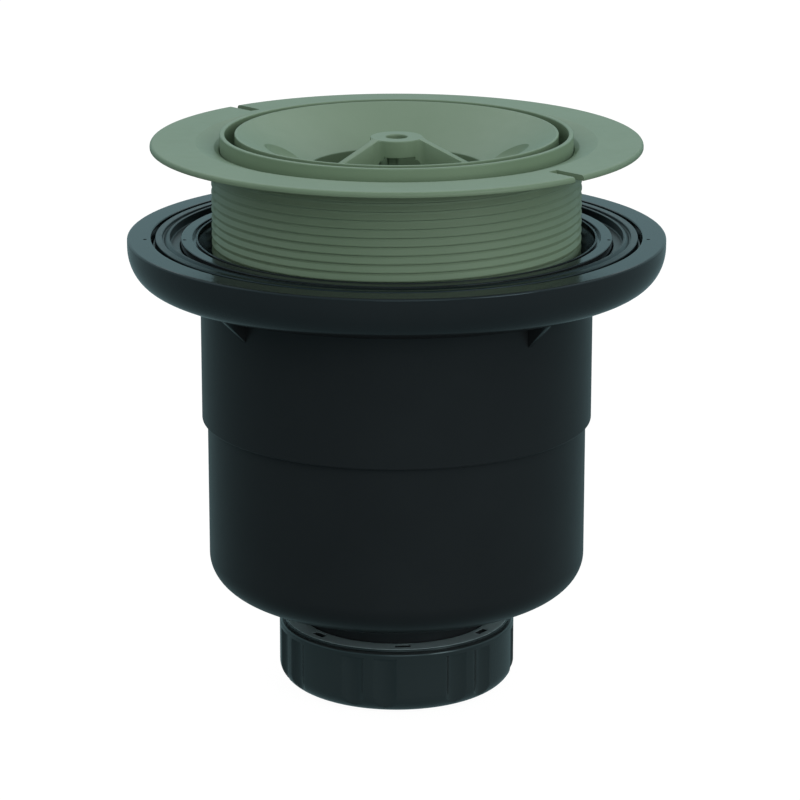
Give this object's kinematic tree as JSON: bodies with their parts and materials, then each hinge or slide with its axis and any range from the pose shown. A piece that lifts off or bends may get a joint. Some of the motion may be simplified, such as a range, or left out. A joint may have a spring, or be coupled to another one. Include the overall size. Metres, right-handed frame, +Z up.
{
  "type": "shower waste",
  "caption": "Shower drain body with a screw-in flanged collar, lift-out water-seal funnel and cup, tray gasket, and a compression nut round its vertical pipe outlet.",
  "frame": {"origin": "centre of the outlet nut's lower face, which is the lowest face of the part", "axes": "+Z up along the drain's axis, -Y towards the viewer of the picture, +X to the viewer's right"},
  "size_m": [0.1264, 0.1264, 0.1346],
  "materials": {
    "black_gloss": "smooth moulded black plastic",
    "green_satin": "satin grey-green plastic",
    "black_rubber": "smooth rubber"
  },
  "bodies": {
    "pot": {"body": "black_gloss", "flange_gasket": "black_rubber"},
    "collar_ring": {"collar_seal": "black_rubber"},
    "collar_insert": {"collar": "green_satin", "trap_cup": "green_satin", "cup_o_ring": "black_rubber", "funnel": "green_satin", "funnel_hub": "green_satin", "funnel_o_ring": "black_rubber"},
    "nut_ring": {"slip_ring": "black_gloss", "outlet_seal": "black_rubber"},
    "nut": {"outlet_nut": "black_gloss"}
  },
  "joints": [
    {"name": "collar_travel", "type": "slide", "parent": "pot", "child": "collar_ring", "axis": [0, 0, 1], "range_m": [-0.01801, 0.01401]},
    {"name": "collar_turn", "type": "hinge", "parent": "collar_ring", "child": "collar_insert", "pos_m": [0, 0, 0.1], "axis": [0, 0, 1], "range_deg": [-3240, 2520]},
    {"name": "nut_travel", "type": "slide", "parent": "pot", "child": "nut_ring", "axis": [0, 0, -1], "range_m": [0, 0.00694]},
    {"name": "nut_turn", "type": "hinge", "parent": "nut_ring", "child": "nut", "pos_m": [0, 0, 0.008], "axis": [0, 0, -1], "range_deg": [0, 1080]}
  ],
  "couplings": [
    {"joint": "collar_travel", "follows": "collar_turn", "m_per_rad": 0.00031831},
    {"joint": "nut_travel", "follows": "nut_turn", "m_per_rad": 0.00036749}
  ]
}
